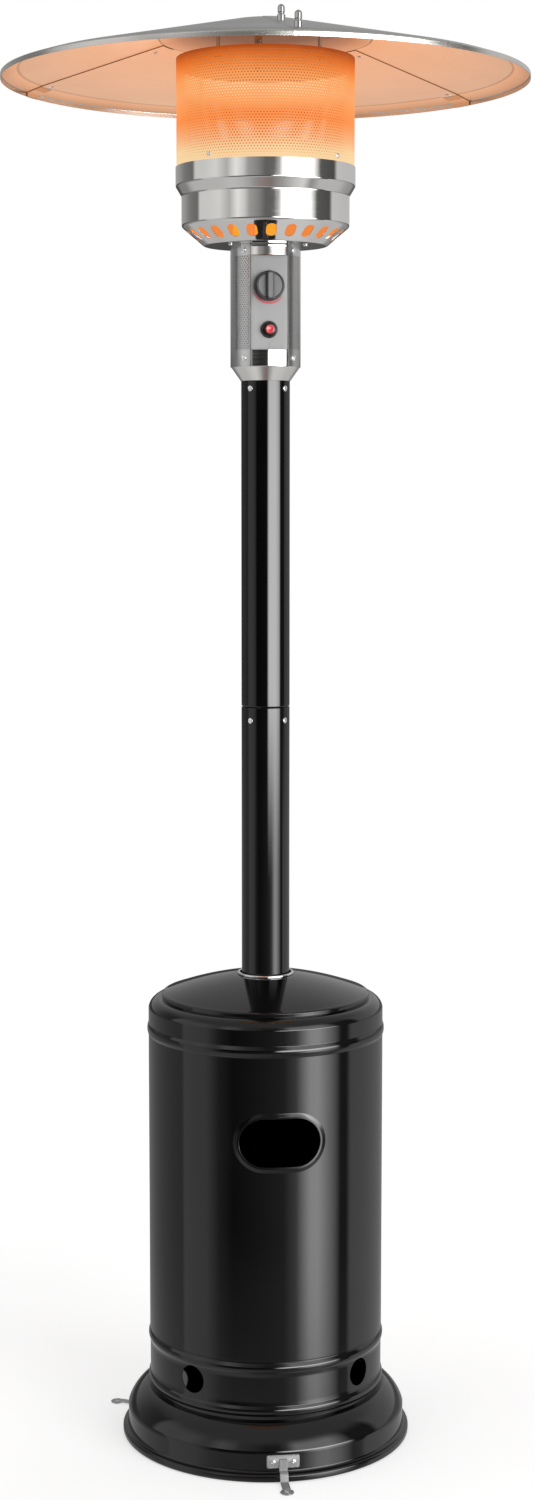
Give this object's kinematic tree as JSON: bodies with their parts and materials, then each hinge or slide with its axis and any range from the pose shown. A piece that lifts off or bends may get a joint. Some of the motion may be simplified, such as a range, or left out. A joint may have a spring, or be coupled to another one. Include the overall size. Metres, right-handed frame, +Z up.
{
  "type": "outdoor gas patio heater",
  "caption": "Free-standing gas patio heater: round base, cylinder cover that lifts, slim post, control head, glowing mesh emitter and round reflector.",
  "frame": {"origin": "on the floor, in the centre of the base's resting ring, under the post's axis", "axes": "+Z up along the post; the control panel and its knob face -Y; +X is to the right seen from the front"},
  "size_m": [0.813, 0.813, 2.2335],
  "materials": {
    "black_enamel": "gloss",
    "satin_black_steel": "satin",
    "plated_steel": "satin",
    "bright_chrome": "polished",
    "polished_stainless": "polished",
    "brushed_stainless": "brushed",
    "gas_brass": "satin",
    "black_plastic": "satin",
    "bare_steel": "satin",
    "red_plastic": "gloss",
    "switch_plastic": "satin",
    "white_ceramic": "glazed",
    "glowing_mesh": "satin",
    "hot_burner": "satin",
    "reflector_aluminium": "satin"
  },
  "bodies": {
    "root": {"base_pan": "black_enamel", "vent_ring": "black_enamel", "anchor_screws": "bright_chrome", "anchor_bracket_front": "plated_steel", "anchor_bracket_right": "plated_steel", "anchor_bracket_left": "plated_steel", "support_leg_right": "satin_black_steel", "support_leg_back": "satin_black_steel", "support_leg_left": "satin_black_steel", "leg_bolts": "plated_steel", "post_bracket": "satin_black_steel", "bracket_bolts": "bright_chrome", "lower_post": "black_enamel", "upper_post": "black_enamel", "post_joint_screws": "bright_chrome", "post_top_screws": "bright_chrome", "gas_pipe": "gas_brass", "gas_inlet": "gas_brass", "head_cone": "polished_stainless", "head_neck": "polished_stainless", "control_panel": "brushed_stainless", "housing_guard_left": "brushed_stainless", "housing_guard_right": "brushed_stainless", "guard_screws": "bright_chrome", "valve_body": "gas_brass", "spindle_spring": "bare_steel", "igniter_body": "black_plastic", "igniter_spring": "bare_steel", "tilt_switch": "switch_plastic", "burner_cup": "polished_stainless", "cup_screws": "bright_chrome", "gas_jet": "gas_brass", "venturi_tube": "brushed_stainless", "burner_bracket": "plated_steel", "burner_head": "hot_burner", "pilot_burner": "gas_brass", "thermocouple": "brushed_stainless", "spark_electrode": "white_ceramic", "screen_collar": "plated_steel", "emitter_screen": "glowing_mesh", "screen_screws": "bright_chrome", "emitter_cap": "plated_steel", "reflector_studs": "plated_steel", "stud_nuts": "plated_steel", "crown_plate": "plated_steel", "reflector_panel_1": "reflector_aluminium", "reflector_panel_2": "reflector_aluminium", "reflector_panel_3": "reflector_aluminium", "seam_bolts": "bright_chrome", "cap_nuts": "bright_chrome"},
    "tank_cover": {"cover_shell": "black_enamel", "hand_hole_rim_front": "black_enamel", "hand_hole_rim_back": "black_enamel", "cover_dome": "black_enamel", "cover_ring": "bright_chrome"},
    "knob_carrier": {"spindle_collar": "bare_steel"},
    "knob": {"valve_spindle": "bare_steel", "control_knob": "black_plastic"},
    "igniter": {"igniter_button": "red_plastic"}
  },
  "joints": [
    {"name": "cover_lift", "type": "slide", "parent": "root", "child": "tank_cover", "axis": [0, 0, 1], "range_m": [0, 0.5]},
    {"name": "knob_push", "type": "slide", "parent": "root", "child": "knob_carrier", "axis": [0, 1, 0], "range_m": [0, 0.003], "stiffness_N_per_m": 900, "springref_m": -0.004, "deforming": ["spindle_spring"]},
    {"name": "knob_turn", "type": "hinge", "parent": "knob_carrier", "child": "knob", "pos_m": [0, -0.05, 1.833], "axis": [0, -1, 0], "range_deg": [0, 225]},
    {"name": "igniter_press", "type": "slide", "parent": "root", "child": "igniter", "axis": [0, 1, 0], "range_m": [0, 0.006], "stiffness_N_per_m": 700, "springref_m": -0.004, "deforming": ["igniter_spring"]}
  ]
}
